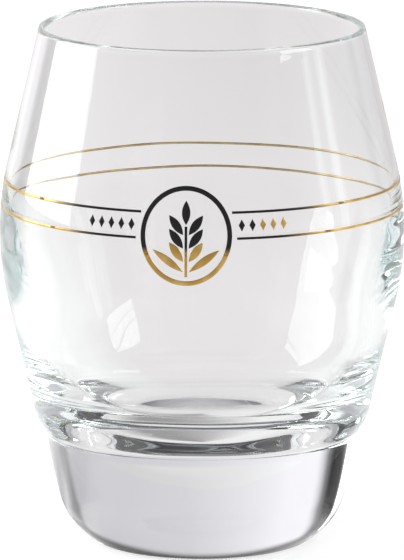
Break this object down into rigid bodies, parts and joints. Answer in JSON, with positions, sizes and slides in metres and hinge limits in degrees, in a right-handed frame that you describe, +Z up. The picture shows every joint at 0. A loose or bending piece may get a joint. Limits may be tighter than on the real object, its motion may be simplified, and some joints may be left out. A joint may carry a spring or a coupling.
{
  "type": "beer glass",
  "caption": "Clear barrel-shaped beer glass on a heavy solid foot, with black and gold lines round its belly and a barley ear in an oval frame.",
  "frame": {"origin": "middle of the ring that the foot stands on, at table level", "axes": "+Z up along the glass's axis, -Y towards the middle of the emblem, +X to the right of someone who looks at it"},
  "size_m": [0.0836, 0.0837, 0.1074],
  "materials": {
    "clear_glass": "fire-polished clear soda-lime glass, faintly green where it is thick",
    "black_enamel": "fired black enamel, smooth and glossy",
    "bright_gold": "fired bright gold, thin and shiny"
  },
  "bodies": {
    "root": {"bowl": "clear_glass", "foot": "clear_glass", "upper_line_left": "black_enamel", "upper_line_right": "black_enamel", "upper_line_back": "bright_gold", "lower_line_left": "black_enamel", "lower_line_right": "black_enamel", "lower_line_back": "bright_gold", "emblem_frame_top": "black_enamel", "emblem_frame_bottom": "bright_gold", "barley_stem_top": "black_enamel", "barley_stem_bottom": "bright_gold", "barley_grain_tip": "black_enamel", "barley_leaf_left": "bright_gold", "barley_leaf_right": "bright_gold", "barley_grain_left_1": "bright_gold", "barley_grain_left_2": "black_enamel", "barley_grain_left_3": "black_enamel", "barley_grain_right_1": "bright_gold", "barley_grain_right_2": "black_enamel", "barley_grain_right_3": "black_enamel", "lozenge_left_1": "black_enamel", "lozenge_left_2": "black_enamel", "lozenge_left_3": "black_enamel", "lozenge_left_4": "black_enamel", "lozenge_left_5": "black_enamel", "lozenge_right_1": "black_enamel", "lozenge_right_2": "black_enamel", "lozenge_right_3": "bright_gold", "lozenge_right_4": "bright_gold", "lozenge_right_5": "bright_gold"}
  },
  "joints": []
}
